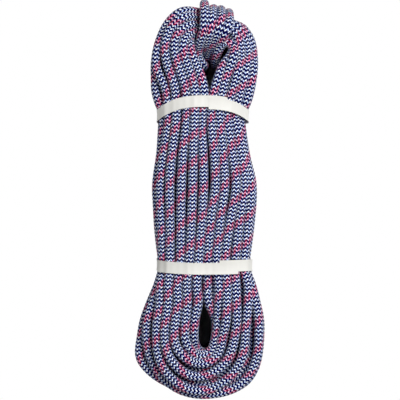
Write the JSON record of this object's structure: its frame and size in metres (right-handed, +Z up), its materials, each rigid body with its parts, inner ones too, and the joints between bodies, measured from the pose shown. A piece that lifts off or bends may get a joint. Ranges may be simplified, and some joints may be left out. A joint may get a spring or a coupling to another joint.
{
  "type": "dynamic climbing rope",
  "caption": "New dynamic climbing rope wound into a long hank with two open eyes, drawn in at the waist by paper bands, for rope work or as a shop or gear-room item.",
  "frame": {"origin": "centre of the overall box in plan, at the height of the floor that the hank rests on", "axes": "+Y along the hank from its wide lower lobe to its narrower upper lobe, +X across it, +Z up through its thickness"},
  "size_m": [0.1387, 0.43, 0.1245],
  "materials": {
    "rope": "woven polyamide sheath",
    "core_yarn": "twisted polyamide cords",
    "sleeve": "heat-shrunk film",
    "band": "coated paper"
  },
  "bodies": {
    "root": {"rope_turns": "rope", "inner_turns": "rope", "end_sheath_a": "rope", "end_sheath_b": "rope", "core_cords_a": "core_yarn", "core_cords_b": "core_yarn", "end_sleeve_a": "sleeve", "end_sleeve_b": "sleeve", "upper_band": "band", "lower_band": "band"}
  },
  "joints": []
}
